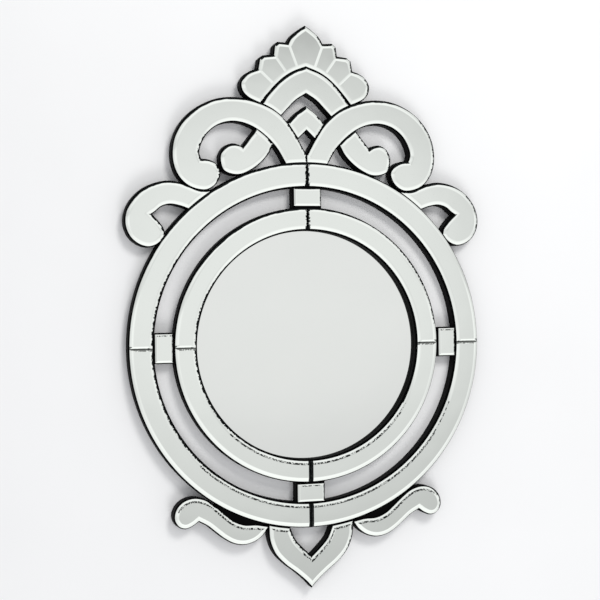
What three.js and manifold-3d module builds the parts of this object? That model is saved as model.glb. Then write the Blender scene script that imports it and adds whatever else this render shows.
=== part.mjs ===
// Wall mirror: bevelled mirror glass glued on a black fretwork board.
// Everything is drawn in the plane of the wall, x to the right and y up, with z towards the
// viewer, and the whole group is then stood up. Units are millimetres. The middle of the round
// mirror, on the back of the board, is the origin.
import * as THREE from 'three';
import { mergeVertices } from 'three/addons/utils/BufferGeometryUtils.js';
import Module from 'manifold-3d';

const wasm = await Module();
wasm.setup();

// Depths, from the wall towards the viewer
const BOARD_DEPTH = 18;
const GLUE = 0.3;
const GLASS_DEPTH = 5;
const BEVEL_DROP = 2;
const WELL_FLOOR = 3;
const CENTRE_GLASS_DEPTH = 4;

// Radii of the two glass rings, and of the arcs that other glass follows around the outer one
const OUTER_RING = { inner: 259.5, outer: 296 };
const INNER_RING = { inner: 189.5, outer: 222.5 };
const SHOULDER = OUTER_RING.outer + 2;
const FOOT_ARC = OUTER_RING.outer + 4;

// What shows of the black board beside the glass, more of it inside the two rings, and the bevels
const MARGIN = 2;
const OPENING_MARGIN = 3;
const JOINT_GAP = 1.2;
const BEVEL = 6.2;
const JOINT_BEVEL = 3.4;

// Keys, the small oblong mirrors that bridge the two rings
const KEY = { width: 45, height: 28, radius: 241 };
const BRIDGE_OVERLAP = 4;

// Grooves that part the petals of the fan
const GROOVE = { width: 4.4, depth: 0.72, rise: 0.4 };

// How finely round edges are divided
const STEP = 10;
const RING_STEP = 3.75;
const DISC_SIDES = 96;
const MITRE_ROOM = 1.25;

const BLACK_PAINT = new THREE.Color(0x0c0c0d);
const SILVERING = new THREE.Color(0xdde3e0);

// A run is one stretch of an outline, from corner to corner, with the width of its bevel.
const point = ([x, y]) => new THREE.Vector2(x, y);

function straight(from, to, bevel = BEVEL) {
  return { points: [point(from), point(to)], bevel };
}

function curve(controls, bevel = BEVEL) {
  const spline = new THREE.CatmullRomCurve3(
    controls.map(([x, y]) => new THREE.Vector3(x, y, 0)), false, 'centripetal');
  const pieces = Math.max(2, Math.round(spline.getLength() / STEP));
  const points = spline.getSpacedPoints(pieces).map((p) => new THREE.Vector2(p.x, p.y));
  return { points, bevel };
}

function onCircle(radius, degrees) {
  const angle = THREE.MathUtils.degToRad(degrees);
  return [radius * Math.cos(angle), radius * Math.sin(angle)];
}

function arc(radius, fromDegrees, toDegrees, bevel = BEVEL) {
  const pieces = Math.max(1, Math.round(Math.abs(toDegrees - fromDegrees) / RING_STEP));
  const points = [];
  for (let i = 0; i <= pieces; i += 1) {
    points.push(point(onCircle(radius, THREE.MathUtils.lerp(fromDegrees, toDegrees, i / pieces))));
  }
  return { points, bevel };
}

// The angle of the point on a circle that lies at a given x, above or below the middle
function degreesAtX(radius, x, above = true) {
  const degrees = THREE.MathUtils.radToDeg(Math.acos(x / radius));
  return above ? degrees : -degrees;
}

// How far along a run the mitre of its corner reaches, for the run's own bevel and the next one
function mitreReach(before, corner, after, ownBevel, otherBevel) {
  const a = before.clone().sub(corner).normalize();
  const b = after.clone().sub(corner).normalize();
  const cosine = a.dot(b);
  const sine = a.cross(b);
  if (sine > -0.02) {
    return 0;
  }
  return (otherBevel + ownBevel * cosine) / -sine;
}

// Joins runs into one closed outline, counter-clockwise. Points that lie within a corner's mitre
// are left out, so that the bevels of the two sides meet in one clean line.
function outlineOf(runs) {
  const points = [];
  const bevels = [];
  runs.forEach((run, index) => {
    const last = runs[(index + runs.length - 1) % runs.length];
    const next = runs[(index + 1) % runs.length];
    const own = run.points;
    const end = own.length - 1;
    const startReach = MITRE_ROOM
      * mitreReach(last.points.at(-2), own[0], own[1], run.bevel, last.bevel);
    const endReach = MITRE_ROOM
      * mitreReach(own[end - 1], own[end], next.points[1], run.bevel, next.bevel);
    points.push(own[0]);
    bevels.push(run.bevel);
    for (let i = 1; i < end; i += 1) {
      const clearOfStart = own[i].distanceTo(own[0]) > startReach;
      const clearOfEnd = own[i].distanceTo(own[end]) > endReach;
      if (clearOfStart && clearOfEnd) {
        points.push(own[i]);
        bevels.push(run.bevel);
      }
    }
  });
  return { points, bevels };
}

function mirrored({ points, bevels }) {
  const count = points.length;
  return {
    points: points.map((_, i) => points[count - 1 - i].clone().setX(-points[count - 1 - i].x)),
    bevels: bevels.map((_, i) => bevels[(2 * count - 2 - i) % count]),
  };
}

// Moves each side of a closed outline inwards by its own width, or outwards if that is negative
function inset(points, widths) {
  const count = points.length;
  return points.map((corner, i) => {
    const before = points[(i + count - 1) % count];
    const after = points[(i + 1) % count];
    const along = corner.clone().sub(before).normalize();
    const ahead = after.clone().sub(corner).normalize();
    const width = widths[(i + count - 1) % count];
    const nextWidth = widths[i];
    const turn = along.cross(ahead);
    if (Math.abs(turn) < 1e-4) {
      return new THREE.Vector2(corner.x - along.y * width, corner.y + along.x * width);
    }
    return new THREE.Vector2(
      corner.x + (width * ahead.x - nextWidth * along.x) / turn,
      corner.y + (width * ahead.y - nextWidth * along.y) / turn);
  });
}

function closedGeometry(corners, triangles) {
  const geometry = new THREE.BufferGeometry();
  geometry.setAttribute('position', new THREE.Float32BufferAttribute(corners.flat(), 3));
  geometry.setIndex(triangles.flat());
  return geometry;
}

// A flat piece of glass with an upright edge and a bevel up to its face
function glassSolid({ points, bevels }) {
  const back = BOARD_DEPTH + GLUE;
  const face = back + GLASS_DEPTH;
  const shoulder = face - BEVEL_DROP;
  const count = points.length;
  const rim = inset(points, bevels);
  const corners = [
    ...points.map((p) => [p.x, p.y, back]),
    ...points.map((p) => [p.x, p.y, shoulder]),
    ...rim.map((p) => [p.x, p.y, face]),
  ];
  const triangles = [];
  THREE.ShapeUtils.triangulateShape(points, []).forEach(([a, b, c]) => triangles.push([a, c, b]));
  for (let level = 0; level < 2; level += 1) {
    for (let i = 0; i < count; i += 1) {
      const a = level * count + i;
      const b = level * count + (i + 1) % count;
      triangles.push([a, b, b + count], [a, b + count, a + count]);
    }
  }
  THREE.ShapeUtils.triangulateShape(rim, []).forEach(([a, b, c]) => {
    triangles.push([a + 2 * count, b + 2 * count, c + 2 * count]);
  });
  return closedGeometry(corners, triangles);
}

// Joining and cutting
function toSolid(geometry) {
  const bare = geometry.clone();
  bare.deleteAttribute('normal');
  bare.deleteAttribute('uv');
  const merged = mergeVertices(bare, 1e-4);
  return new wasm.Manifold(new wasm.Mesh({
    numProp: 3,
    vertProperties: new Float32Array(merged.attributes.position.array),
    triVerts: new Uint32Array(merged.index.array),
  }));
}

function toGeometry(solid) {
  const mesh = solid.getMesh();
  const geometry = new THREE.BufferGeometry();
  geometry.setAttribute('position', new THREE.BufferAttribute(mesh.vertProperties, 3));
  geometry.setIndex(new THREE.BufferAttribute(mesh.triVerts, 1));
  return geometry;
}

function plate(points, from, to, holes = []) {
  const shape = new THREE.Shape(points);
  shape.holes = holes.map((hole) => new THREE.Path(hole));
  const geometry = new THREE.ExtrudeGeometry(shape, { depth: to - from, bevelEnabled: false });
  geometry.translate(0, 0, from);
  return geometry;
}

function circle(radius) {
  const points = [];
  for (let i = 0; i < DISC_SIDES; i += 1) {
    points.push(point(onCircle(radius, (360 * i) / DISC_SIDES)));
  }
  return points;
}

// Outlines of the glass. A piece of a pair is drawn for the right-hand side.
// Quarter of a ring, from the right-hand joint to the top one
function ringQuarter({ inner, outer }) {
  const half = JOINT_GAP / 2;
  const joint = (radius) => THREE.MathUtils.radToDeg(Math.asin(half / radius));
  const low = (radius) => onCircle(radius, joint(radius));
  const high = (radius) => onCircle(radius, 90 - joint(radius));
  return outlineOf([
    straight(low(inner), low(outer), JOINT_BEVEL),
    arc(outer, joint(outer), 90 - joint(outer)),
    straight(high(outer), high(inner), JOINT_BEVEL),
    arc(inner, 90 - joint(inner), joint(inner)),
  ]);
}

function turned({ points, bevels }, degrees) {
  const middle = new THREE.Vector2();
  const angle = THREE.MathUtils.degToRad(degrees);
  return { points: points.map((p) => p.clone().rotateAround(middle, angle)), bevels };
}

// Key at the top, between the rings
function key() {
  const side = KEY.width / 2;
  const low = KEY.radius - KEY.height / 2;
  const high = KEY.radius + KEY.height / 2;
  return outlineOf([
    straight([-side, low], [side, low], JOINT_BEVEL),
    straight([side, low], [side, high], JOINT_BEVEL),
    straight([side, high], [-side, high], JOINT_BEVEL),
    straight([-side, high], [-side, low], JOINT_BEVEL),
  ]);
}

// Large C-scroll of the crest. It stands on the ring beside the middle seam, swings out over
// the shoulder and ends in a broad lobe that turns back in.
function crestScroll() {
  const seam = 1;
  const leg = 35;
  const seamFoot = degreesAtX(SHOULDER, seam);
  const legFoot = degreesAtX(SHOULDER, leg);
  const crotch = [seam, 309];
  const eye = [177, 300];
  return outlineOf([
    arc(SHOULDER, seamFoot, legFoot),
    curve([onCircle(SHOULDER, legFoot), [50, 321], [68, 340], [88, 354], [108, 361.5], [128, 363],
      [149, 357], [166, 344], [177, 326], [180.5, 311], eye]),
    curve([eye, [164, 298.5], [152.5, 292.5], [146, 280], [152, 264], [167, 253.5], [185, 254.5],
      [201, 262], [214, 276.5], [221.5, 298], [220, 328], [207, 357], [184, 380], [154, 395],
      [122, 399.5], [90, 395], [60, 383.5], [35, 363.5], [17, 337], crotch]),
    straight(crotch, onCircle(SHOULDER, seamFoot)),
  ]);
}

// Comma scroll inside the C-scroll, hanging from its inner edge
function commaScroll() {
  const high = [84, 349.5];
  const low = [57.5, 326.5];
  const eye = [108, 319];
  return outlineOf([
    curve([high, [70.5, 339], low]),
    curve([low, [66, 311], [79, 297], [95, 285.5], [112, 278.3], [126, 278.5], [138.5, 284],
      [143.5, 296], [143, 309], [136, 320], [125, 325], [114, 323], eye]),
    straight(eye, high),
  ]);
}

// Scroll on the ring's shoulder, under the lobe of the C-scroll
function earScroll() {
  const tip = 163;
  const bay = 198;
  const lobeIn = 237.5;
  const lobeOut = 243.5;
  const at = (x) => onCircle(SHOULDER, degreesAtX(SHOULDER, x));
  const eye = [260, 213.5];
  return outlineOf([
    arc(SHOULDER, degreesAtX(SHOULDER, tip), degreesAtX(SHOULDER, bay)),
    curve([at(bay), [212, 227.5], [229, 230], [243, 226], [253, 218], eye]),
    curve([eye, [247, 200], [240, 190], at(lobeIn)]),
    arc(SHOULDER, degreesAtX(SHOULDER, lobeIn), degreesAtX(SHOULDER, lobeOut)),
    curve([at(lobeOut), [251, 166], [263, 162.5], [277, 166], [290, 176], [298, 191.5], [299, 209],
      [292.5, 228], [280, 244], [266, 254.5], [249, 261.5], [230, 264.5], [214, 262.5],
      [199, 257], [184, 251.5], at(tip)]),
  ]);
}

// Flat S-scroll under the ring
function footScroll() {
  const tip = [74, -293];
  const eye = [188, -276];
  return outlineOf([
    curve([tip, [82, -304], [95, -313.5], [112, -318], [129, -315.5], [145, -307], [159, -296],
      [173, -284.5], eye]),
    curve([eye, [197, -282.5], [209, -287], [220, -283.5], [226.5, -272], [223.5, -257],
      [212, -245.5], [195, -241], [176, -245.5], [160, -256.5], [145, -269.5], [130, -281.5],
      [113, -288.5], [93, -289.5], tip]),
  ]);
}

// Pointed pendant under the ring
function pendant() {
  const outerX = 71;
  const innerX = 37;
  const at = (x) => onCircle(FOOT_ARC, degreesAtX(FOOT_ARC, x, false));
  const flip = ([x, y]) => [-x, y];
  const apex = [0, -394];
  const valley = [0, -346.5];
  const outside = [at(outerX), [69.5, -314], [61, -336], [45, -354], [26, -369], [9, -384], apex];
  const inside = [at(innerX), [28.5, -317], [14.5, -333], valley];
  return outlineOf([
    curve(outside.map(flip)),
    curve([...outside].reverse()),
    arc(FOOT_ARC, degreesAtX(FOOT_ARC, outerX, false), degreesAtX(FOOT_ARC, innerX, false)),
    curve(inside),
    curve([...inside].reverse().map(flip)),
    arc(FOOT_ARC, -180 - degreesAtX(FOOT_ARC, innerX, false),
      -180 - degreesAtX(FOOT_ARC, outerX, false)),
  ]);
}

// The crest's middle: an arch over the crotch of the C-scrolls, a chevron under it and a fan of
// petals over it. Each is drawn for its right half.
const ARCH_OUTSIDE = [[72.5, 392], [63, 406], [51, 420], [38, 432], [22, 442.5], [0, 451.5]];
const ARCH_INSIDE = [[43, 374], [32, 385.5], [18, 399.5], [0, 411]];
const FAN_UNDERSIDE = [[77, 393.5], [65, 408.5], [53, 422], [39.5, 434.5], [23, 445], [0, 454]];
const FAN_LOBE = [[84, 396], [97, 402.5], [106, 412], [108, 424], [102, 435], [91.5, 442.5],
  [79.5, 446.5]];
const FAN_PETALS = [
  [[79.5, 446.5], [76.5, 463], [70.5, 468], [53, 470]],
  [[53, 470], [51, 485.5], [45.5, 490.5], [29, 489.5]],
];
const FAN_POINT = [[29, 489.5], [22, 501], [11, 510.5], [0, 518]];
const FAN_GROOVES = [
  { from: [78.6, 445.6], to: [56.5, 425] },
  { from: [52.3, 469], to: [34.5, 444.5] },
  { from: [28.8, 488.5], to: [15, 452] },
];

// Adds the left half to the runs of a right half, which lead from the bottom to the top
function bothHalves(runs) {
  const left = [...runs].reverse().map((run) => {
    const points = [...run.points].reverse().map((p) => p.clone().setX(-p.x));
    return { points, bevel: run.bevel };
  });
  return [...runs, ...left];
}

function crestArch() {
  const over = bothHalves([curve(ARCH_OUTSIDE)]);
  const seat = [ARCH_INSIDE[0], [57, 384], ARCH_OUTSIDE[0]];
  const under = bothHalves([curve(ARCH_INSIDE)]).reverse();
  const back = under.map((run) => ({ points: [...run.points].reverse(), bevel: run.bevel }));
  const leftSeat = seat.map(([x, y]) => [-x, y]).reverse();
  return outlineOf([...over, curve(leftSeat), ...back, curve(seat)]);
}

function crestChevron() {
  const top = [0, 387];
  const haunch = [15.5, 375.5];
  const shoulder = [30, 360.5];
  const foot = [14.5, 337.5];
  const valley = [0, 351.5];
  const flip = ([x, y]) => [-x, y];
  return outlineOf([
    curve([top, flip(haunch), flip(shoulder)]),
    straight(flip(shoulder), flip(foot)),
    straight(flip(foot), valley),
    straight(valley, foot),
    straight(foot, shoulder),
    curve([shoulder, haunch, top]),
  ]);
}

function crestFan() {
  const petalRuns = FAN_PETALS.flatMap((petal) => (
    petal.slice(1).map((corner, i) => straight(petal[i], corner))));
  const upper = bothHalves([curve(FAN_LOBE), ...petalRuns, curve(FAN_POINT)]);
  const lower = bothHalves([curve(FAN_UNDERSIDE)]).reverse();
  const underside = lower.map((run) => ({ points: [...run.points].reverse(), bevel: run.bevel }));
  const right = [FAN_UNDERSIDE[0], FAN_LOBE[0]];
  const left = right.map(([x, y]) => [-x, y]).reverse();
  return outlineOf([...upper, straight(...left), ...underside, straight(...right)]);
}

// V-shaped cutter that lies in the face of the glass between two points
function grooveCutter(from, to) {
  const face = BOARD_DEPTH + GLUE + GLASS_DEPTH;
  const half = (GROOVE.width / 2) * (1 + GROOVE.rise / GROOVE.depth);
  const start = point(from);
  const along = point(to).sub(start);
  const section = new THREE.Shape([
    new THREE.Vector2(0, -GROOVE.depth),
    new THREE.Vector2(half, GROOVE.rise),
    new THREE.Vector2(-half, GROOVE.rise),
  ]);
  const geometry = new THREE.ExtrudeGeometry(section, {
    depth: along.length(),
    bevelEnabled: false,
  });
  const across = new THREE.Vector3(along.y, -along.x, 0).normalize();
  const forward = new THREE.Vector3(along.x, along.y, 0).normalize();
  const towardsViewer = new THREE.Vector3(0, 0, 1);
  const frame = new THREE.Matrix4().makeBasis(across.negate(), towardsViewer, forward);
  frame.setPosition(start.x, start.y, face);
  return toSolid(geometry.applyMatrix4(frame));
}

function fanSolid() {
  let solid = toSolid(glassSolid(crestFan()));
  FAN_GROOVES.forEach(({ from, to }) => {
    const flip = ([x, y]) => [-x, y];
    solid = solid.subtract(grooveCutter(from, to));
    solid = solid.subtract(grooveCutter(flip(from), flip(to)));
  });
  return toGeometry(solid);
}

// The glass, piece by piece: its name and its outline
const glass = [];

const QUARTERS = ['upper_right', 'upper_left', 'lower_left', 'lower_right'];
QUARTERS.forEach((quarter, i) => {
  glass.push([`outer_ring_${quarter}`, turned(ringQuarter(OUTER_RING), 90 * i)]);
  glass.push([`inner_ring_${quarter}`, turned(ringQuarter(INNER_RING), 90 * i)]);
});
['key_top', 'key_left', 'key_bottom', 'key_right'].forEach((name, i) => {
  glass.push([name, turned(key(), 90 * i)]);
});
[
  ['crest_scroll', crestScroll()],
  ['comma_scroll', commaScroll()],
  ['ear_scroll', earScroll()],
  ['foot_scroll', footScroll()],
].forEach(([name, outline]) => {
  glass.push([`${name}_right`, outline], [`${name}_left`, mirrored(outline)]);
});
glass.push(['pendant', pendant()], ['crest_arch', crestArch()], ['crest_chevron', crestChevron()]);

// The board: every piece of glass with a margin around it, the two rings, the bridges under the
// keys and the webs that join the foot scrolls to the ring, less the well for the centre glass
function boardSolid() {
  const depth = [0, BOARD_DEPTH];
  const withMargin = ({ points }) => plate(inset(points, points.map(() => -MARGIN)), ...depth);
  const parts = [
    plate(circle(INNER_RING.outer + MARGIN), ...depth),
    plate(circle(OUTER_RING.outer + MARGIN), ...depth, [circle(OUTER_RING.inner - OPENING_MARGIN)]),
    withMargin(crestFan()),
  ];
  glass.filter(([name]) => !/ring|key/.test(name)).forEach(([, outline]) => {
    parts.push(withMargin(outline));
  });

  const bridgeSide = KEY.width / 2 + MARGIN;
  const bridgeEnds = [INNER_RING.outer - BRIDGE_OVERLAP, OUTER_RING.inner + BRIDGE_OVERLAP];
  for (let i = 0; i < 4; i += 1) {
    const bridge = new THREE.BoxGeometry(2 * bridgeSide, bridgeEnds[1] - bridgeEnds[0], BOARD_DEPTH);
    bridge.translate(0, (bridgeEnds[0] + bridgeEnds[1]) / 2, BOARD_DEPTH / 2);
    bridge.rotateZ((Math.PI / 2) * i);
    parts.push(bridge);
  }

  const web = outlineOf([
    curve([[82, -292], [97, -293], [114, -293], [132, -287], [147, -274], [163, -261]]),
    straight([163, -261], [154, -246]),
    straight([154, -246], [78, -280]),
    straight([78, -280], [82, -292]),
  ]);
  parts.push(plate(web.points, ...depth), plate(mirrored(web).points, ...depth));

  let solid = parts.map(toSolid).reduce((whole, part) => whole.add(part));
  const wellRadius = INNER_RING.inner - OPENING_MARGIN;
  const well = plate(circle(wellRadius), WELL_FLOOR, BOARD_DEPTH + 1);
  solid = solid.subtract(toSolid(well));
  return toGeometry(solid);
}

function centreMirror() {
  const radius = INNER_RING.inner - OPENING_MARGIN - GLUE;
  const back = WELL_FLOOR + GLUE;
  return plate(circle(radius), back, back + CENTRE_GLASS_DEPTH);
}

// Assembly
const mirror = new THREE.Group();
mirror.rotation.x = Math.PI / 2;

function addPiece(name, geometry, look) {
  geometry.deleteAttribute('uv');
  geometry.computeVertexNormals();
  const mesh = new THREE.Mesh(geometry, new THREE.MeshStandardMaterial(look));
  mesh.name = name;
  mirror.add(mesh);
}

const paint = { color: BLACK_PAINT, roughness: 0.45, metalness: 0, flatShading: true };
const silvered = { color: SILVERING, roughness: 0.03, metalness: 1, flatShading: true };

addPiece('backing_board', boardSolid(), paint);
addPiece('centre_mirror', centreMirror(), silvered);
glass.forEach(([name, outline]) => addPiece(name, glassSolid(outline), silvered));
addPiece('crest_fan', fanSolid(), silvered);

const group = new THREE.Group();
group.add(mirror);

export default group;
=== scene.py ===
# Wall mirror with a scrolled crest: bevelled mirror glass glued on a black fretwork board.
# Outlines are drawn in millimetres in the plane of the wall, x to the right and z up, and become
# metres where a mesh is made. The mirror faces -Y and its back lies on the plane y = 0.
import math

import bpy
from mathutils import Matrix, Vector
from mathutils.geometry import intersect_line_line_2d


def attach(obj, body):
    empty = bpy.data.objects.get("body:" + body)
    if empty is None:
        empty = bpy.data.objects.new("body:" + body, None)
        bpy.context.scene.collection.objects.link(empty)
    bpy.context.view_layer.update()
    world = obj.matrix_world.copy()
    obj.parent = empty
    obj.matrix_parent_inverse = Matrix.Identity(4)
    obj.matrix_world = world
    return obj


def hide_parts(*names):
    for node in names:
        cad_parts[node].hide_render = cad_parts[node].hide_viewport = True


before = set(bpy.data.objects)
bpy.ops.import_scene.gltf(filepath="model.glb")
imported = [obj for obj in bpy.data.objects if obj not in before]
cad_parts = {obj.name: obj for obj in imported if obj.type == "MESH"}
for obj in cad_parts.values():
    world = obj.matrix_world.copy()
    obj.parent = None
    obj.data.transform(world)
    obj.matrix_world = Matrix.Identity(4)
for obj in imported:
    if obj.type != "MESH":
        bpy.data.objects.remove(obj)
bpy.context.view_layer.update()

MM = 0.001

# Depths, from the wall towards the viewer
BOARD_DEPTH = 18
BOARD_ARRIS = 0.5
WELL_FLOOR = 3
GLUE = 0.3
GLASS_DEPTH = 5
BEVEL_DROP = 2
GLASS_BACK = BOARD_DEPTH + GLUE
GLASS_FACE = GLASS_BACK + GLASS_DEPTH

# Radii of the rings, and of the arcs that other glass follows around the outer one
OUTER_RING = {"inner": 259.5, "outer": 296}
INNER_RING = {"inner": 189.5, "outer": 222.5}
SHOULDER = OUTER_RING["outer"] + 2
FOOT_ARC = OUTER_RING["outer"] + 4

# What shows of the board beside the glass, more of it inside the two rings, and the bevels. Each
# step of a bevel says how far across it and how far up it lies, and the bevel eases off inwards.
MARGIN = 2
OPENING_MARGIN = 3
JOINT_GAP = 1.2
BEVEL = 6.2
JOINT_BEVEL = 3.4
BEVEL_STEPS = [(0.45, 0.55), (0.8, 0.89), (1, 1)]
ONE_STEP = [(1, 1)]
KEY = {"width": 45, "height": 28, "radius": 241}
BRIDGE_OVERLAP = 4
GROOVE = {"width": 4.4, "depth": 0.72, "rise": 0.4}

# How finely outlines are divided, and how near to each other two points of one may lie
STEP = 1.8
PIECES_BETWEEN_KNOTS = 24
HOLE_SIDES = 240
LEAST_GAP = 0.01

# Sides that turn less than this against each other count as one straight line, and a crossing is
# looked for between sides that lie up to this many points apart
STRAIGHT = 1e-4
CROSSING_REACH = 70

# Reaches on a mesh, in metres: corners nearer than the first are welded, sides shorter than the
# second are dissolved, and a corner nearer to a depth than the third lies on it
WELD_REACH = 2e-6
SHORTEST_SIDE = 1e-6
DEPTH_REACH = 1e-6

# Angles in degrees up to which the faces of the glass and of the board are shaded as one
GLASS_SMOOTH = 8
BOARD_SMOOTH = 20


def deselect_all():
    bpy.ops.object.select_all(action="DESELECT")


def select_only(piece):
    deselect_all()
    piece.select_set(True)
    bpy.context.view_layer.objects.active = piece


# Outlines. A run is one stretch from corner to corner, with the width of its bevel.
def straight(start, end, bevel=BEVEL):
    return {"points": [Vector(start), Vector(end)], "bevel": bevel}


def even_points(fine, step):
    lengths = [0.0]
    for a, b in zip(fine, fine[1:]):
        lengths.append(lengths[-1] + (b - a).length)
    pieces = max(2, round(lengths[-1] / step))
    points = [fine[0]]
    at = 0
    for i in range(1, pieces):
        wanted = lengths[-1] * i / pieces
        while lengths[at + 1] < wanted:
            at += 1
        share = (wanted - lengths[at]) / (lengths[at + 1] - lengths[at])
        points.append(fine[at].lerp(fine[at + 1], share))
    return points + [fine[-1]]


# A smooth curve through its points, drawn as a fair batten bends
def curve(controls, bevel=BEVEL):
    knots = [Vector(c) for c in controls]
    knots = [2 * knots[0] - knots[1]] + knots + [2 * knots[-1] - knots[-2]]
    fine = []
    for before, start, end, after in zip(knots, knots[1:], knots[2:], knots[3:]):
        first, middle, last = (
            math.sqrt((b - a).length) for a, b in ((before, start), (start, end), (end, after)))
        leave = middle * ((start - before) / first - (end - before) / (first + middle)
                          + (end - start) / middle)
        arrive = middle * ((end - start) / middle - (after - start) / (middle + last)
                           + (after - end) / last)
        for i in range(PIECES_BETWEEN_KNOTS):
            t = i / PIECES_BETWEEN_KNOTS
            fine.append(start + leave * t
                        + (3 * (end - start) - 2 * leave - arrive) * t * t
                        + (2 * (start - end) + leave + arrive) * t ** 3)
    fine.append(knots[-2])
    return {"points": even_points(fine, STEP), "bevel": bevel}


def on_circle(radius, degrees):
    angle = math.radians(degrees)
    return (radius * math.cos(angle), radius * math.sin(angle))


def arc(radius, start, end, bevel=BEVEL):
    pieces = max(1, round(math.radians(abs(end - start)) * radius / STEP))
    points = [Vector(on_circle(radius, start + (end - start) * i / pieces))
              for i in range(pieces + 1)]
    return {"points": points, "bevel": bevel}


def circle_points(radius):
    return [Vector(on_circle(radius, 360 * i / HOLE_SIDES)) for i in range(HOLE_SIDES)]


def degrees_at_x(radius, x, above=True):
    degrees = math.degrees(math.acos(x / radius))
    return degrees if above else -degrees


# Joins runs into one closed outline, counter-clockwise as the viewer sees it
def outline_of(runs):
    points, bevels = [], []
    for run in runs:
        points += run["points"][:-1]
        bevels += [run["bevel"]] * (len(run["points"]) - 1)
    return {"points": points, "bevels": bevels}


def cross(a, b):
    return a.x * b.y - a.y * b.x


# Moves each side of a closed outline inwards by its own width, or outwards if that is negative
def moved_in(points, widths):
    count = len(points)
    moved = []
    for i, corner in enumerate(points):
        along = (corner - points[i - 1]).normalized()
        ahead = (points[(i + 1) % count] - corner).normalized()
        width, next_width = widths[i - 1], widths[i]
        turn = cross(along, ahead)
        if abs(turn) < STRAIGHT:
            moved.append(corner + width * Vector((-along.y, along.x)))
        else:
            moved.append(corner + (width * ahead - next_width * along) / turn)
    return without_loops(moved)


# Where the moved sides cross, as they do beside a corner, the loop is closed to the crossing
def without_loops(moved):
    count = len(moved)
    reach = min(CROSSING_REACH, count // 2)
    loops = []
    for i in range(count):
        for gap in range(reach, 1, -1):
            j = (i + gap) % count
            meet = intersect_line_line_2d(
                moved[i], moved[(i + 1) % count], moved[j], moved[(j + 1) % count])
            if meet is not None:
                loops.append((gap, i, meet))
                break
    closed = set()
    for gap, i, meet in sorted(loops, key=lambda loop: -loop[0]):
        inside = [(i + k) % count for k in range(1, gap + 1)]
        if closed.isdisjoint(inside):
            closed.update(inside)
            for k in inside:
                moved[k] = meet
    return moved


def without_doubles(points):
    kept = []
    for p in points:
        if not kept or (p - kept[-1]).length > LEAST_GAP:
            kept.append(p)
    if (kept[0] - kept[-1]).length < LEAST_GAP:
        kept.pop()
    return kept


def mirrored_points(points):
    return [Vector((-p.x, p.y)) for p in reversed(points)]


def both_halves(runs):
    left = [{"points": mirrored_points(run["points"]), "bevel": run["bevel"]}
            for run in reversed(runs)]
    return runs + left


def backwards(runs):
    return [{"points": run["points"][::-1], "bevel": run["bevel"]} for run in reversed(runs)]


def flipped(controls):
    return [(-x, z) for x, z in controls]


# Quarter of a ring, from the right-hand joint to the top one
def ring_quarter(ring):
    inner, outer = ring["inner"], ring["outer"]

    def joint(radius):
        return math.degrees(math.asin(JOINT_GAP / 2 / radius))

    return outline_of([
        straight(on_circle(inner, joint(inner)), on_circle(outer, joint(outer)), JOINT_BEVEL),
        arc(outer, joint(outer), 90 - joint(outer)),
        straight(on_circle(outer, 90 - joint(outer)), on_circle(inner, 90 - joint(inner)),
                 JOINT_BEVEL),
        arc(inner, 90 - joint(inner), joint(inner)),
    ])


def oblong(side, low, high):
    return [(-side, low), (side, low), (side, high), (-side, high)]


# Key at the top, between the rings
def key_outline():
    corners = oblong(KEY["width"] / 2, KEY["radius"] - KEY["height"] / 2,
                     KEY["radius"] + KEY["height"] / 2)
    return outline_of([straight(corners[i], corners[(i + 1) % 4], JOINT_BEVEL)
                       for i in range(4)])


# Large C-scroll of the crest, which ends in a broad lobe that turns back in
def crest_scroll():
    seam, leg = 1, 35
    seam_foot = degrees_at_x(SHOULDER, seam)
    leg_foot = degrees_at_x(SHOULDER, leg)
    crotch = (seam, 309)
    eye = (177, 300)
    return outline_of([
        arc(SHOULDER, seam_foot, leg_foot),
        curve([on_circle(SHOULDER, leg_foot), (50, 321), (68, 340), (88, 354), (108, 361.5),
               (128, 363), (149, 357), (166, 344), (177, 326), (180.5, 311), eye]),
        curve([eye, (164, 298.5), (152.5, 292.5), (146, 280), (152, 264), (167, 253.5),
               (185, 254.5), (201, 262), (214, 276.5), (221.5, 298), (220, 328), (207, 357),
               (184, 380), (154, 395), (122, 399.5), (90, 395), (60, 383.5), (35, 363.5),
               (17, 337), crotch]),
        straight(crotch, on_circle(SHOULDER, seam_foot)),
    ])


# Comma scroll that hangs from the inner edge of the C-scroll
def comma_scroll():
    high, low, eye = (84, 349.5), (57.5, 326.5), (108, 319)
    return outline_of([
        curve([high, (70.5, 339), low]),
        curve([low, (66, 311), (79, 297), (95, 285.5), (112, 278.3), (126, 278.5), (138.5, 284),
               (143.5, 296), (143, 309), (136, 320), (125, 325), (114, 323), eye]),
        straight(eye, high),
    ])


# Scroll on the ring's shoulder, under the lobe of the C-scroll
def ear_scroll():
    tip, bay, lobe_in, lobe_out = (degrees_at_x(SHOULDER, x) for x in (163, 198, 237.5, 243.5))
    eye = (260, 213.5)
    return outline_of([
        arc(SHOULDER, tip, bay),
        curve([on_circle(SHOULDER, bay), (212, 227.5), (229, 230), (243, 226), (253, 218), eye]),
        curve([eye, (247, 200), (240, 190), on_circle(SHOULDER, lobe_in)]),
        arc(SHOULDER, lobe_in, lobe_out),
        curve([on_circle(SHOULDER, lobe_out), (251, 166), (263, 162.5), (277, 166), (290, 176),
               (298, 191.5), (299, 209), (292.5, 228), (280, 244), (266, 254.5), (249, 261.5),
               (230, 264.5), (214, 262.5), (199, 257), (184, 251.5), on_circle(SHOULDER, tip)]),
    ])


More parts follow.
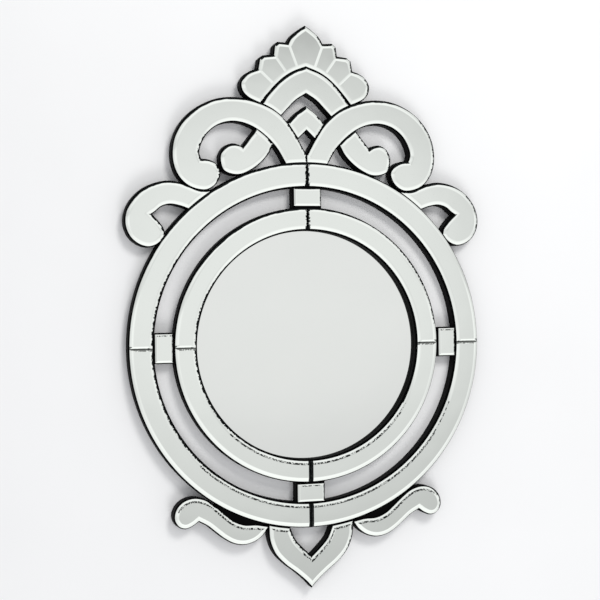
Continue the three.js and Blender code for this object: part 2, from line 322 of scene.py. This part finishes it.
# Flat S-scroll under the ring
def foot_scroll():
    tip, eye = (74, -293), (188, -276)
    return outline_of([
        curve([tip, (82, -304), (95, -313.5), (112, -318), (129, -315.5), (145, -307),
               (159, -296), (173, -284.5), eye]),
        curve([eye, (197, -282.5), (209, -287), (220, -283.5), (226.5, -272), (223.5, -257),
               (212, -245.5), (195, -241), (176, -245.5), (160, -256.5), (145, -269.5),
               (130, -281.5), (113, -288.5), (93, -289.5), tip]),
    ])


# Board between the foot scroll and the ring
def foot_web():
    tip, end, back, root = (82, -292), (163, -261), (154, -246), (78, -280)
    return outline_of([
        curve([tip, (97, -293), (114, -293), (132, -287), (147, -274), end]),
        straight(end, back),
        straight(back, root),
        straight(root, tip),
    ])


# Pointed pendant under the ring
def pendant():
    outer_foot, inner_foot = (degrees_at_x(FOOT_ARC, x, above=False) for x in (71, 37))
    apex, valley = (0, -394), (0, -346.5)
    outside = [on_circle(FOOT_ARC, outer_foot), (69.5, -314), (61, -336), (45, -354),
               (26, -369), (9, -384), apex]
    inside = [on_circle(FOOT_ARC, inner_foot), (28.5, -317), (14.5, -333), valley]
    return outline_of([
        curve(flipped(outside)),
        curve(outside[::-1]),
        arc(FOOT_ARC, outer_foot, inner_foot),
        curve(inside),
        curve(flipped(inside[::-1])),
        arc(FOOT_ARC, -180 - inner_foot, -180 - outer_foot),
    ])


# The crest's middle. Each shape is drawn for its right half, from the bottom to the top.
def crest_arch():
    outside = [(72.5, 392), (63, 406), (51, 420), (38, 432), (22, 442.5), (0, 451.5)]
    inside = [(43, 374), (32, 385.5), (18, 399.5), (0, 411)]
    seat = [inside[0], (57, 384), outside[0]]
    over = both_halves([curve(outside)])
    under = backwards(both_halves([curve(inside)]))
    return outline_of([*over, curve(flipped(seat[::-1])), *under, curve(seat)])


def crest_chevron():
    top, haunch, shoulder = (0, 387), (15.5, 375.5), (30, 360.5)
    foot, valley = (14.5, 337.5), (0, 351.5)
    left_haunch, left_shoulder, left_foot = flipped([haunch, shoulder, foot])
    return outline_of([
        curve([top, left_haunch, left_shoulder]),
        straight(left_shoulder, left_foot),
        straight(left_foot, valley),
        straight(valley, foot),
        straight(foot, shoulder),
        curve([shoulder, haunch, top]),
    ])


# Grooves that part the petals of the fan, each from its outer end to its inner one
FAN_GROOVES = [
    ((78.6, 445.6), (56.5, 425)),
    ((52.3, 469), (34.5, 444.5)),
    ((28.8, 488.5), (15, 452)),
]


def crest_fan():
    underside = [(77, 393.5), (65, 408.5), (53, 422), (39.5, 434.5), (23, 445), (0, 454)]
    lobe = [(84, 396), (97, 402.5), (106, 412), (108, 424), (102, 435), (91.5, 442.5),
            (79.5, 446.5)]
    petals = [(79.5, 446.5), (76.5, 463), (70.5, 468), (53, 470), (51, 485.5), (45.5, 490.5),
              (29, 489.5)]
    point = [(29, 489.5), (22, 501), (11, 510.5), (0, 518)]
    petal_sides = [straight(a, b) for a, b in zip(petals, petals[1:])]
    over = both_halves([curve(lobe), *petal_sides, curve(point)])
    under = backwards(both_halves([curve(underside)]))
    right_end = [underside[0], lobe[0]]
    left_end = flipped(right_end[::-1])
    return outline_of([*over, straight(*left_end), *under, straight(*right_end)])


# Meshes. A plate starts as a filled round that is pulled out to the outline, and is then extruded
# towards the viewer, level by level.
def filled_outline(places):
    deselect_all()
    bpy.ops.mesh.primitive_circle_add(vertices=len(places), radius=1, fill_type="NGON")
    piece = bpy.context.active_object
    piece.matrix_world = Matrix.Identity(4)
    for vertex, (x, depth, z) in zip(piece.data.vertices, places):
        vertex.co = (x * MM, -depth * MM, z * MM)
    return piece


def pull(x, depth, z):
    bpy.ops.mesh.extrude_region_move(
        TRANSFORM_OT_translate={"value": (x * MM, -depth * MM, z * MM)})


def edit_all():
    bpy.ops.object.mode_set(mode="EDIT")
    bpy.ops.mesh.select_all(action="SELECT")


def leave_edit():
    bpy.ops.object.mode_set(mode="OBJECT")


def draw_in(piece, depth, corners, moved):
    places = dict(zip(corners, moved))
    for vertex in piece.data.vertices:
        if abs(vertex.co.y + depth * MM) < DEPTH_REACH:
            q = places[vertex.co.x, vertex.co.z]
            vertex.co = (q.x * MM, vertex.co.y, q.y * MM)


def close_up(piece):
    select_only(piece)
    edit_all()
    bpy.ops.mesh.remove_doubles(threshold=WELD_REACH)
    bpy.ops.mesh.dissolve_degenerate(threshold=SHORTEST_SIDE)
    bpy.ops.mesh.normals_make_consistent(inside=False)
    leave_edit()


# A plate with an upright edge up to the shoulder and a slope from there, in steps, up to the face
def bevelled_plate(points, widths, back, shoulder, face, steps):
    rim = moved_in(points, widths)
    levels = [(across, shoulder + (face - shoulder) * up) for across, up in steps]
    piece = filled_outline([(p.x, back, p.y) for p in points])
    corners = [(vertex.co.x, vertex.co.z) for vertex in piece.data.vertices]
    select_only(piece)
    edit_all()
    pull(0, shoulder - back, 0)
    reached = shoulder
    for across, depth in levels:
        pull(0, depth - reached, 0)
        reached = depth
    leave_edit()
    for across, depth in levels:
        draw_in(piece, depth, corners, [p.lerp(q, across) for p, q in zip(points, rim)])
    close_up(piece)
    return piece


def glass_piece(outline):
    return bevelled_plate(outline["points"], outline["bevels"], GLASS_BACK,
                          GLASS_FACE - BEVEL_DROP, GLASS_FACE, BEVEL_STEPS)


def copy_of(piece):
    select_only(piece)
    bpy.ops.object.duplicate()
    return bpy.context.active_object


def place_is_mesh(piece):
    select_only(piece)
    bpy.ops.object.transform_apply(location=True, rotation=True, scale=True)


def mirrored_copy(piece):
    copy = copy_of(piece)
    bpy.ops.transform.resize(value=(-1, 1, 1), center_override=(0, 0, 0))
    place_is_mesh(copy)
    close_up(copy)
    return copy


def turned_copy(piece, degrees):
    copy = copy_of(piece)
    bpy.ops.transform.rotate(value=math.radians(degrees), orient_axis="Y",
                             center_override=(0, 0, 0))
    place_is_mesh(copy)
    return copy


def combine(piece, others, operation):
    select_only(piece)
    for other in others:
        modifier = piece.modifiers.new("combine", "BOOLEAN")
        modifier.operation = operation
        modifier.solver = "MANIFOLD"
        modifier.object = other
        bpy.ops.object.modifier_apply(modifier=modifier.name)
    deselect_all()
    for other in others:
        other.select_set(True)
    bpy.ops.object.delete()


# V-shaped cutter that lies in the face of the glass between two points of a groove
def groove_cutter(start, end):
    start, end = Vector(start), Vector(end)
    along = end - start
    across = Vector((along.y, -along.x)).normalized()
    half = GROOVE["width"] / 2 * (1 + GROOVE["rise"] / GROOVE["depth"])
    section = [(0, GLASS_FACE - GROOVE["depth"]), (half, GLASS_FACE + GROOVE["rise"]),
               (-half, GLASS_FACE + GROOVE["rise"])]
    places = []
    for side, depth in section:
        p = start + across * side
        places.append((p.x, depth, p.y))
    cutter = filled_outline(places)
    edit_all()
    pull(along.x, 0, along.y)
    bpy.ops.mesh.select_all(action="SELECT")
    bpy.ops.mesh.normals_make_consistent(inside=False)
    leave_edit()
    return cutter


def cut_grooves(fan):
    cutters = []
    for groove in FAN_GROOVES:
        cutters.append(groove_cutter(*groove))
        cutters.append(groove_cutter(*flipped(groove)))
    combine(fan, cutters, "DIFFERENCE")


# Plate of the board, and the cutter for a round hole in it, which flares at the board's face as
# the board's other edges do
def board_plate(points):
    return bevelled_plate(points, [BOARD_ARRIS] * len(points), 0, BOARD_DEPTH - BOARD_ARRIS,
                          BOARD_DEPTH, ONE_STEP)


def hole_cutter(radius, back):
    points = circle_points(radius)
    return bevelled_plate(points, [-2 * BOARD_ARRIS] * len(points), back,
                          BOARD_DEPTH - BOARD_ARRIS, BOARD_DEPTH + BOARD_ARRIS, ONE_STEP)


def with_margin(outline):
    points = outline["points"]
    return without_doubles(moved_in(points, [-MARGIN] * len(points)))


# The board: a disc under each ring, a plate under each other piece of glass, the bridges under the
# keys and the webs beside the foot scrolls, less the opening between the rings and the well
def board_piece(outlines):
    through = -1
    board = board_plate(circle_points(OUTER_RING["outer"] + MARGIN))
    combine(board, [hole_cutter(OUTER_RING["inner"] - OPENING_MARGIN, through)], "DIFFERENCE")
    parts = [board_plate(circle_points(INNER_RING["outer"] + MARGIN))]
    for name, outline in outlines.items():
        points = with_margin(outline)
        parts.append(board_plate(points))
        if "scroll" in name:
            parts.append(board_plate(mirrored_points(points)))
    bridge = [Vector(p) for p in oblong(KEY["width"] / 2 + MARGIN,
                                        INNER_RING["outer"] - BRIDGE_OVERLAP,
                                        OUTER_RING["inner"] + BRIDGE_OVERLAP)]
    for i in range(4):
        turn = Matrix.Rotation(math.radians(90 * i), 2)
        parts.append(board_plate([turn @ p for p in bridge]))
    web = foot_web()["points"]
    parts.append(board_plate(web))
    parts.append(board_plate(mirrored_points(web)))
    combine(board, parts, "UNION")
    combine(board, [hole_cutter(INNER_RING["inner"] - OPENING_MARGIN, WELL_FLOOR)], "DIFFERENCE")
    return board


# Materials. Each helper adds one node, fills its sockets and gives back its result.
def new_material(name):
    material = bpy.data.materials.new(name)
    material.use_nodes = True
    tree = material.node_tree
    shader = tree.nodes["Principled BSDF"]
    return material, tree, shader


def fill_socket(tree, socket, value):
    if isinstance(value, bpy.types.NodeSocket):
        tree.links.new(value, socket)
    else:
        socket.default_value = value


def add_node(tree, kind, **sockets):
    node = tree.nodes.new(kind)
    for name, value in sockets.items():
        fill_socket(tree, node.inputs[name.replace("_", " ")], value)
    return node


def calculated(tree, operation, *values, kind="ShaderNodeMath"):
    node = tree.nodes.new(kind)
    node.operation = operation
    for socket, value in zip(node.inputs, values):
        fill_socket(tree, socket, value)
    return node


def product(tree, first, second):
    return calculated(tree, "MULTIPLY", first, second).outputs[0]


def larger(tree, first, second):
    return calculated(tree, "MAXIMUM", first, second).outputs[0]


def along_direction(tree, vector, direction):
    node = calculated(tree, "DOT_PRODUCT", vector, direction, kind="ShaderNodeVectorMath")
    return node.outputs["Value"]


def object_place(tree):
    return add_node(tree, "ShaderNodeTexCoord").outputs["Object"]


def noise(tree, scale, detail):
    node = add_node(tree, "ShaderNodeTexNoise", Vector=object_place(tree), Scale=scale,
                    Detail=detail)
    return node.outputs["Fac"]


def between(tree, factor, low, high, start=0.3, end=0.7):
    node = add_node(tree, "ShaderNodeMapRange", Value=factor, From_Min=start, From_Max=end,
                    To_Min=low, To_Max=high)
    return node.outputs["Result"]


def blend_colours(tree, factor, first, second):
    node = tree.nodes.new("ShaderNodeMix")
    node.data_type = "RGBA"
    tree.links.new(factor, node.inputs["Factor"])
    for socket, value in ((node.inputs[6], first), (node.inputs[7], second)):
        fill_socket(tree, socket, (*value, 1) if isinstance(value, tuple) else value)
    return node.outputs[2]


def bump(tree, shader, height, strength, distance):
    node = add_node(tree, "ShaderNodeBump", Height=height, Strength=strength,
                    Distance=distance)
    tree.links.new(node.outputs["Normal"], shader.inputs["Normal"])


# Mirror glass: a cool silver with the faint green of float glass, a breath of haze here and
# there, and the slight swim of a hand-ground plate. Where a shadow mask is given, a painted dark
# reflection is blended into the silver.
LIGHT_SILVER, DEEP_SILVER, SWIM = (0.885, 0.92, 0.885), (0.865, 0.90, 0.865), 0.25
LIGHT_CENTRE, DEEP_CENTRE, CENTRE_SWIM = (0.875, 0.895, 0.872), (0.86, 0.882, 0.86), 0.12
# Colours of the painted dark reflections that a shadow mask blends into the silver
BLACK_REFLECTION = (0.012, 0.014, 0.014)
GREY_REFLECTION = (0.2, 0.21, 0.2)


def silvered_glass(name, shadow=None, dark=BLACK_REFLECTION, light=LIGHT_SILVER,
                   deep=DEEP_SILVER, swim=SWIM):
    material, tree, shader = new_material(name)
    shader.inputs["Metallic"].default_value = 1
    tint = between(tree, noise(tree, scale=9, detail=3), 0, 1)
    colour = blend_colours(tree, tint, deep, light)
    if shadow is not None:
        colour = blend_colours(tree, shadow(tree), colour, dark)
    tree.links.new(colour, shader.inputs["Base Color"])
    haze = between(tree, noise(tree, scale=38, detail=5), 0.02, 0.055)
    tree.links.new(haze, shader.inputs["Roughness"])
    bump(tree, shader, noise(tree, scale=22, detail=1), strength=swim, distance=0.0004)
    return material


# How far up its bevel a point of the glass lies, from 0 at the shoulder to 1 at the face
def up_the_bevel(tree):
    depth = add_node(tree, "ShaderNodeSeparateXYZ", Vector=object_place(tree)).outputs["Y"]
    face = -GLASS_FACE * MM
    return between(tree, depth, 0, 1, face + BEVEL_DROP * MM, face)


# How squarely a bevel faces a direction in the plane of the wall, from 0 to 1
def facing(tree, direction, start, end):
    normal = add_node(tree, "ShaderNodeNewGeometry").outputs["True Normal"]
    return between(tree, along_direction(tree, normal, direction), 0, 1, start, end)


# A value that wanders between low and high along the glass
def ragged(tree, scale, low, high, start=0.4, end=0.6):
    return between(tree, noise(tree, scale, detail=2), low, high, start, end)


# Painted dark reflection: a dark strip along the low side of a bevel, up to a given share of
# its height
def low_shadow(tree, share):
    return calculated(tree, "LESS_THAN", up_the_bevel(tree), share).outputs[0]


# Painted dark reflection on the bevels of the upright and the level joints, ragged along them
def upright_joint_shadow(tree):
    return low_shadow(tree, ragged(tree, 420, 0.45, 1.05))


def level_joint_shadow(tree):
    return low_shadow(tree, ragged(tree, 420, 0.5, 1.1, 0.42, 0.58))


# Outer bevels show the painted dark reflection most where they face up and a little to the left
def lip_shadow(tree):
    faces_up = facing(tree, (-0.3, 0, 0.954), 0.22, 0.35)
    return low_shadow(tree, product(tree, faces_up, ragged(tree, 60, 0.36, 0.52)))


# Painted dark reflection on bevels that face right, up to a ragged share of their height
def right_shadow(tree, highest):
    faces_right = facing(tree, (1, 0, 0.2), 0.2, 0.34)
    return low_shadow(tree, product(tree, faces_right, ragged(tree, 300, 0.15, highest)))


# The left sides of the openings and the inner ring's upper right show the painted dark
# reflection where they face right
def side_shadow(tree):
    return larger(tree, right_shadow(tree, 0.55), lip_shadow(tree))


# Painted dark reflection: a broken dark line where a bevel that faces up meets the face of the
# glass
def arris_shadow(tree):
    near_face = between(tree, up_the_bevel(tree), 0, 1, 0.56, 0.64)
    breaks = between(tree, noise(tree, scale=500, detail=0), 0.08, 1, 0.42, 0.5)
    return larger(tree, product(tree, near_face, breaks), right_shadow(tree, 0.45))


# Surfaces that are not mirrors: a colour, a roughness and how much they shine
def give_look(tree, shader, colour, roughness, shine):
    tree.links.new(colour, shader.inputs["Base Color"])
    fill_socket(tree, shader.inputs["Roughness"], roughness)
    shader.inputs["Specular IOR Level"].default_value = shine


# Ground edge of the glass, blackened with the board
def ground_edge():
    material, tree, shader = new_material("ground_glass_edge")
    grain = noise(tree, scale=900, detail=4)
    colour = blend_colours(tree, between(tree, grain, 0, 1), (0.003, 0.0045, 0.004),
                           (0.011, 0.015, 0.0135))
    give_look(tree, shader, colour, between(tree, grain, 0.35, 0.55), shine=0.1)
    bump(tree, shader, grain, strength=0.15, distance=0.0002)
    return material


# The steep bevels of the lower joints, with a painted dark reflection all over them, in patches
def painted_reflection_joint():
    material, tree, shader = new_material("joint_bevel_painted_reflection")
    patches = between(tree, noise(tree, scale=300, detail=2), 0, 1, 0.5, 0.7)
    colour = blend_colours(tree, patches, (0.004, 0.005, 0.005), (0.03, 0.034, 0.033))
    give_look(tree, shader, colour, between(tree, patches, 0.2, 0.35), shine=0.1)
    return material


# Satin black paint, rolled on fibreboard
def black_paint():
    material, tree, shader = new_material("black_board")
    cloud = between(tree, noise(tree, scale=30, detail=4), 0, 1)
    grain = noise(tree, scale=1400, detail=3)
    colour = blend_colours(tree, cloud, (0.0009, 0.0009, 0.001), (0.0026, 0.0026, 0.0029))
    give_look(tree, shader, colour, between(tree, grain, 0.48, 0.66), shine=0.03)
    bump(tree, shader, grain, strength=0.25, distance=0.0003)
    return material


# Plain plaster of the stage. It is seen from its front alone, so that neither wall nor floor hides
# the mirror from a camera behind or under it.
def stage_surface():
    material, tree, shader = new_material("plain_plaster")
    cloud = between(tree, noise(tree, scale=3, detail=3), 0, 1)
    colour = blend_colours(tree, cloud, (0.86, 0.86, 0.862), (0.88, 0.88, 0.882))
    give_look(tree, shader, colour, 0.95, shine=0)
    clear = add_node(tree, "ShaderNodeBsdfTransparent")
    side = add_node(tree, "ShaderNodeNewGeometry")
    mix = tree.nodes.new("ShaderNodeMixShader")
    for socket, value in zip(mix.inputs, (side.outputs["Backfacing"], shader.outputs["BSDF"],
                                          clear.outputs["BSDF"])):
        tree.links.new(value, socket)
    tree.links.new(mix.outputs[0], tree.nodes["Material Output"].inputs["Surface"])
    return material


def use_materials(piece, *materials):
    piece.data.materials.clear()
    for material in materials:
        piece.data.materials.append(material)


# The light of the room as the mirror sees it, by the angle in degrees from the middle of a soft
# patch to the front right: the patch, a greyer ring round it, white beyond, and grey behind. The
# second ramp dims or lifts it by the angle above the horizon.
ROOM_PATCH = {"azimuth": 15.7, "elevation": 0.1}
ROOM_RAMP = [
    (0, 0.88), (5, 0.87), (7, 0.82), (8.5, 0.745), (9.5, 0.65), (11.5, 0.57), (14, 0.78),
    (17, 0.84), (24, 0.9), (31, 0.97), (37, 1.02), (41, 0.98), (46, 0.86), (52, 0.78),
    (60, 0.74), (90, 0.66), (120, 0.6), (180, 0.6),
]
ROOM_HEIGHTS = [
    (-90, 1), (-55, 1), (-45, 0.9), (-20, 0.9), (-14, 0.8), (-11, 0.83), (-9, 0.87), (-6, 0.885),
    (-4, 0.955), (-1, 1), (3, 1), (6, 0.97), (7.2, 0.945), (8, 0.92), (9.2, 0.83), (12, 0.8),
    (20, 0.95), (35, 1.02), (50, 1.25), (90, 1.25),
]

# A pale floor lights the room from below, up to this share of its own light
FLOOR_LIGHT = (1.6, 1.6, 1.6)
FLOOR_SHARE = 0.5

# What the matt surfaces receive from all sides, and what the camera sees beyond the stage
AMBIENT = 0.63
AMBIENT_TINT = (0.98, 0.993, 1.018)
BACKDROP = (0.87, 0.87, 0.875)


def grey_ramp(tree, factor, levels):
    ramp = tree.nodes.new("ShaderNodeValToRGB")
    tree.links.new(factor, ramp.inputs["Fac"])
    stops = ramp.color_ramp.elements
    while len(stops) < len(levels):
        stops.new(0.5)
    for stop, (place, level) in zip(stops, levels):
        stop.position = place
        stop.color = (level, level, level, 1)
    return ramp.outputs["Color"]


def add_room_light():
    world = bpy.data.worlds.new("soft_room")
    bpy.context.scene.world = world
    world.use_nodes = True
    tree = world.node_tree
    azimuth, elevation = (math.radians(angle) for angle in ROOM_PATCH.values())
    middle = (math.sin(azimuth) * math.cos(elevation), -math.cos(azimuth) * math.cos(elevation),
              math.sin(elevation))
    place = add_node(tree, "ShaderNodeTexCoord").outputs["Generated"]
    angle = calculated(tree, "ARCCOSINE", along_direction(tree, place, middle)).outputs[0]
    around = grey_ramp(tree, between(tree, angle, 0, 1, 0, math.pi),
                       [(degrees / 180, level) for degrees, level in ROOM_RAMP])
    height = add_node(tree, "ShaderNodeSeparateXYZ", Vector=place).outputs["Z"]
    lift = grey_ramp(tree, between(tree, height, 0, 1, -1, 1),
                     [((math.sin(math.radians(degrees)) + 1) / 2, level)
                      for degrees, level in ROOM_HEIGHTS])
    room = calculated(tree, "MULTIPLY", around, lift, kind="ShaderNodeVectorMath").outputs[0]
    glow = between(tree, height, FLOOR_SHARE, 0, -1, 0)
    mirrored_room = blend_colours(tree, glow, room, FLOOR_LIGHT)
    path = tree.nodes.new("ShaderNodeLightPath").outputs
    ambient = tuple(tint * AMBIENT for tint in AMBIENT_TINT)
    lighting = blend_colours(tree, path["Is Diffuse Ray"], mirrored_room, ambient)
    seen = blend_colours(tree, path["Is Camera Ray"], lighting, BACKDROP)
    tree.links.new(seen, tree.nodes["Background"].inputs["Color"])


# The camera stands left of the mirror, level with its middle
def add_camera():
    bpy.ops.object.camera_add(
        location=(-0.7233, -2.3566, 0.0982),
        rotation=[math.radians(degrees) for degrees in (89.424, 0.729, -16.885)])
    camera = bpy.context.active_object
    camera.name = "view_camera"
    camera.data.lens = 90
    camera.data.sensor_width = 36
    camera.data.clip_end = 60
    bpy.context.scene.camera = camera


STAGE_SIZE = 9


def add_stage(name, location, rotation):
    deselect_all()
    bpy.ops.mesh.primitive_plane_add(size=STAGE_SIZE, location=location, rotation=rotation)
    plane = bpy.context.active_object
    plane.name = name
    use_materials(plane, stage_material)
    plane.visible_shadow = False
    plane.visible_diffuse = False
    plane.visible_glossy = name == "wall"


# Round lamp that shines on the mirror's middle and is not seen itself
def add_light(name, location, size, power, colour=(1, 1, 1)):
    deselect_all()
    bpy.ops.object.light_add(type="AREA", location=location)
    light = bpy.context.active_object
    light.name = name
    light.rotation_euler = (-Vector(location)).to_track_quat("-Z", "Y").to_euler()
    light.data.shape = "DISK"
    light.data.size = size
    light.data.energy = power
    light.data.color = colour
    light.visible_glossy = False
    light.visible_camera = False


add_camera()
add_room_light()
bpy.context.scene.view_settings.view_transform = "Standard"

silver = silvered_glass("silvered_mirror")
arris_painted_reflection_silver = silvered_glass("silvered_mirror_arris_painted_reflection", arris_shadow)
upright_joint = silvered_glass("silvered_mirror_upright_joint_painted_reflection", upright_joint_shadow)
level_joint = silvered_glass("silvered_mirror_level_joint_painted_reflection", level_joint_shadow, GREY_REFLECTION)
lip_painted_reflection_silver = silvered_glass("silvered_mirror_lip_painted_reflection", lip_shadow)
side_painted_reflection_silver = silvered_glass("silvered_mirror_side_painted_reflection", side_shadow)
centre_silver = silvered_glass("silvered_centre_mirror", light=LIGHT_CENTRE, deep=DEEP_CENTRE,
                               swim=CENTRE_SWIM)
edge = ground_edge()
joint_bevel_painted_reflection = painted_reflection_joint()
paint = black_paint()
stage_material = stage_surface()

# The materials of a piece of glass, and the places that they have on it
GLASS_MATERIALS = [silver, edge, joint_bevel_painted_reflection, arris_painted_reflection_silver, upright_joint, level_joint,
                   lip_painted_reflection_silver, side_painted_reflection_silver]
PLAIN, EDGE, LOWER_JOINT, ARRIS, UPRIGHT_JOINT, LEVEL_JOINT, LIP, SIDE = range(8)

# The forward part of a face's normal is less than the first of these on the edge, and more than
# the second on the face of the glass
EDGE_FORWARD = 0.3
FACE_FORWARD = 0.995

# A bevel faces right or up if that part of its normal is more than the first of these, a little up
# by the second, and mostly right by the third, its share of the part in the plane of the wall
FACES_AWAY = 0.1
FACES_UP_A_LITTLE = 0.05
MOSTLY_RIGHT = 0.7

# How near to a joint's middle its bevels lie, and below which height the arrises show a painted
# dark reflection line
JOINT_REACH = 4.1 * MM
ARRIS_SHADOW_BELOW = -100 * MM


# The bevels that face right and show the painted dark reflection strip: all but those round the
# outer ring's outside, and on the inner ring's outside the upper ones alone
def is_painted_reflection_side(piece, face):
    right, up = face.normal.x, face.normal.z
    if "ring" in piece.name and face.center.x * right + face.center.z * up > 0:
        return "inner_ring" in piece.name and right > FACES_AWAY and up > FACES_UP_A_LITTLE
    return right > FACES_AWAY and right > MOSTLY_RIGHT * math.hypot(right, up)


# Picks the material of a face by its place and the way it faces
def glass_material(piece, face):
    forward, up = -face.normal.y, face.normal.z
    x, z = face.center.x, face.center.z
    if forward < EDGE_FORWARD:
        return EDGE
    if forward > FACE_FORWARD:
        return PLAIN
    if "ring" in piece.name and abs(x) < JOINT_REACH:
        return LOWER_JOINT if z < 0 else UPRIGHT_JOINT
    if "ring" in piece.name and abs(z) < JOINT_REACH:
        return LEVEL_JOINT if up > 0 else PLAIN
    if is_painted_reflection_side(piece, face):
        return SIDE
    if up <= FACES_AWAY:
        return PLAIN
    low = "key" in piece.name or z < ARRIS_SHADOW_BELOW
    return ARRIS if low and "top" not in piece.name else LIP


def shade_plate(piece, degrees):
    select_only(piece)
    bpy.ops.object.shade_smooth_by_angle(angle=math.radians(degrees))


def finish_piece(piece, node):
    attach(piece, "root")
    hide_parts(node)


def finish_glass(name, piece):
    piece.name = piece.data.name = "glass_" + name
    use_materials(piece, *GLASS_MATERIALS)
    for face in piece.data.polygons:
        face.material_index = glass_material(piece, face)
    shade_plate(piece, GLASS_SMOOTH)
    finish_piece(piece, name)


# Finishes three turned copies of a piece and the piece itself, which is the first of the names
def finish_four(names, first):
    for i in (3, 2, 1):
        finish_glass(names[i], turned_copy(first, -90 * i))
    finish_glass(names[0], first)


# Glass
QUARTERS = ["upper_right", "upper_left", "lower_left", "lower_right"]
for ring_name, ring in (("outer_ring", OUTER_RING), ("inner_ring", INNER_RING)):
    finish_four([f"{ring_name}_{quarter}" for quarter in QUARTERS],
                glass_piece(ring_quarter(ring)))
finish_four(["key_top", "key_left", "key_bottom", "key_right"], glass_piece(key_outline()))

outlines = {
    "crest_scroll": crest_scroll(),
    "comma_scroll": comma_scroll(),
    "ear_scroll": ear_scroll(),
    "foot_scroll": foot_scroll(),
    "pendant": pendant(),
    "crest_arch": crest_arch(),
    "crest_chevron": crest_chevron(),
    "crest_fan": crest_fan(),
}
for name, outline in outlines.items():
    piece = glass_piece(outline)
    if name == "crest_fan":
        cut_grooves(piece)
    if "scroll" in name:
        finish_glass(f"{name}_left", mirrored_copy(piece))
        finish_glass(f"{name}_right", piece)
    else:
        finish_glass(name, piece)

# Board
board = board_piece(outlines)
board.name = board.data.name = "black_fretwork_board"
use_materials(board, paint)
shade_plate(board, BOARD_SMOOTH)
finish_piece(board, "backing_board")

# The round mirror keeps its CAD mesh
use_materials(bpy.data.objects["centre_mirror"], centre_silver)

# Stage and lights. The wall stands just clear of the mirror's back.
add_stage("wall", (0, 0.0006, 0.5), (math.radians(90), 0, 0))
add_stage("floor", (0, 0, -1.5), (0, 0, 0))
add_light("key_light", (0.7, -2.3, 1.8), size=1.0, power=35, colour=(1, 0.995, 0.975))
add_light("fill_light", (0.4, -2.4, -2.6), size=1.6, power=32)
add_light("back_light", (-1.4, 2.4, 1.6), size=1.6, power=60)
